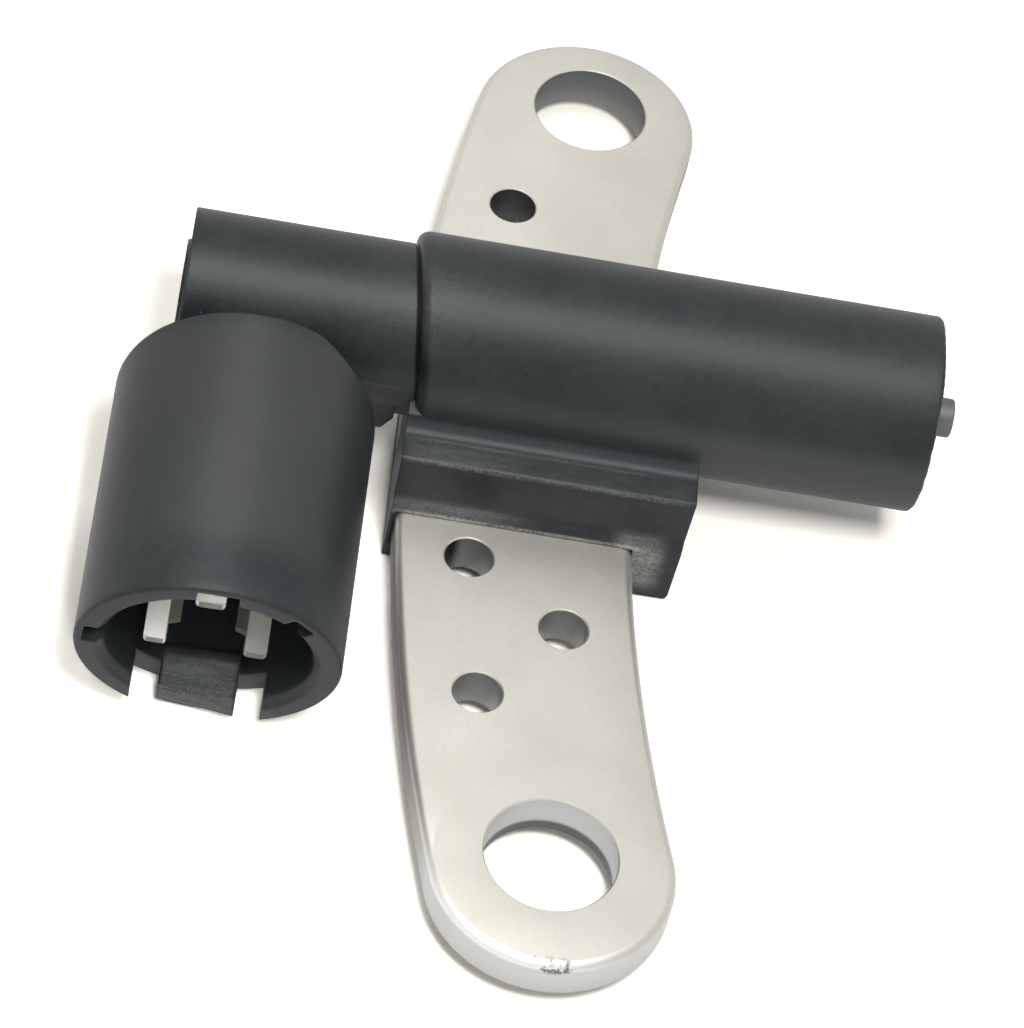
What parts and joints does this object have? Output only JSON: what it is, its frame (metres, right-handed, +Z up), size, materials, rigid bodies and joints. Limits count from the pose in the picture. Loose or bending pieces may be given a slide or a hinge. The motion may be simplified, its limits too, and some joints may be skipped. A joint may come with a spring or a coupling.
{
  "type": "crankshaft position sensor",
  "caption": "Inductive crankshaft position sensor: probe with pole pin and keyed connector in a black moulding across a curved steel bracket with bolt holes.",
  "frame": {"origin": "on the flat underside of the moulded block, below the probe's axis and midway between the two bolt holes", "axes": "+X along the probe towards its pole pin, +Y along the bracket away from the connector's mouth, +Z up from the block's underside to the probe"},
  "size_m": [0.071, 0.1061, 0.0265],
  "materials": {
    "black_plastic": "fine grain, matt",
    "bracket_steel": "satin zinc plated",
    "pin_steel": "dull",
    "tinned_contact": "tin plated",
    "sintered_magnet": "ground",
    "bobbin_nylon": "moulded",
    "enamelled_copper": "enamelled",
    "coil_tape": "film"
  },
  "bodies": {
    "root": {"bracket_plate": "bracket_steel", "housing": "black_plastic", "pole_pin": "pin_steel", "contact_blade_top": "tinned_contact", "contact_blade_left": "tinned_contact", "contact_blade_right": "tinned_contact", "coil_bobbin": "bobbin_nylon", "coil_winding": "enamelled_copper", "coil_wrap": "coil_tape", "magnet": "sintered_magnet", "yoke_disc": "pin_steel", "coil_lead_left": "enamelled_copper", "coil_lead_right": "enamelled_copper"}
  },
  "joints": []
}
